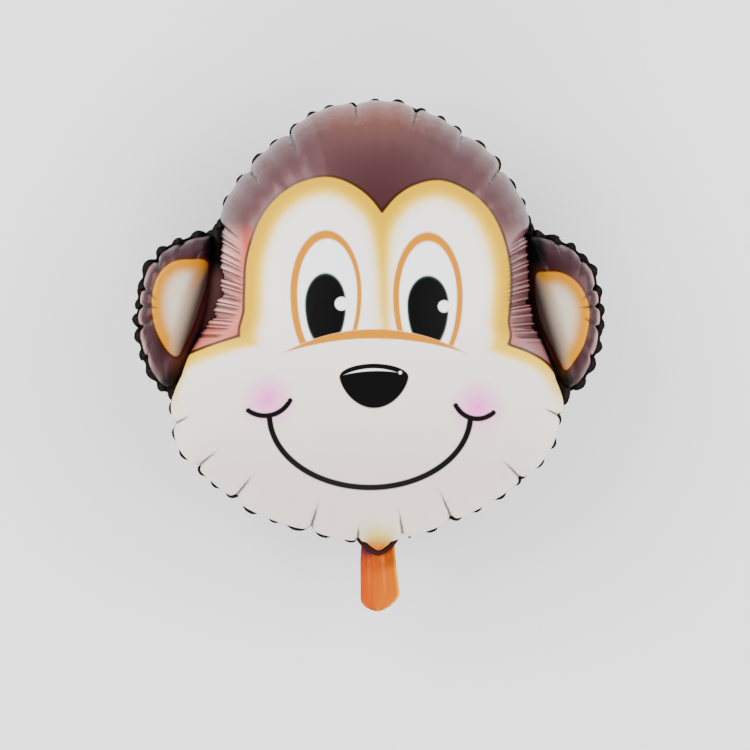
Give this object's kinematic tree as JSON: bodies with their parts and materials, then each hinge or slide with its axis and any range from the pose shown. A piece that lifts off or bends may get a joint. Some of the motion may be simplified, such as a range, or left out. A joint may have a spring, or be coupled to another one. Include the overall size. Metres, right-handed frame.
{
  "type": "monkey head foil balloon",
  "caption": "Gas-filled foil balloon shaped as a round monkey head with two ears, gathered along a flat sealed margin, with a flat filling tail under the chin.",
  "frame": {"origin": "on the floor, under the middle of the balloon's box, as it lies on its back", "axes": "+Z out of the face, +Y towards the crown of the head, +X towards the ear at a viewer's right"},
  "size_m": [0.5582, 0.605, 0.2661],
  "materials": {
    "pearl_foil": "printed metallised film, pearly satin",
    "brown_foil": "metallised film, glossy dark brown",
    "amber_foil": "metallised film, glossy amber"
  },
  "bodies": {
    "root": {"front_foil": "pearl_foil", "back_foil": "brown_foil", "filling_tail": "amber_foil"}
  },
  "joints": []
}
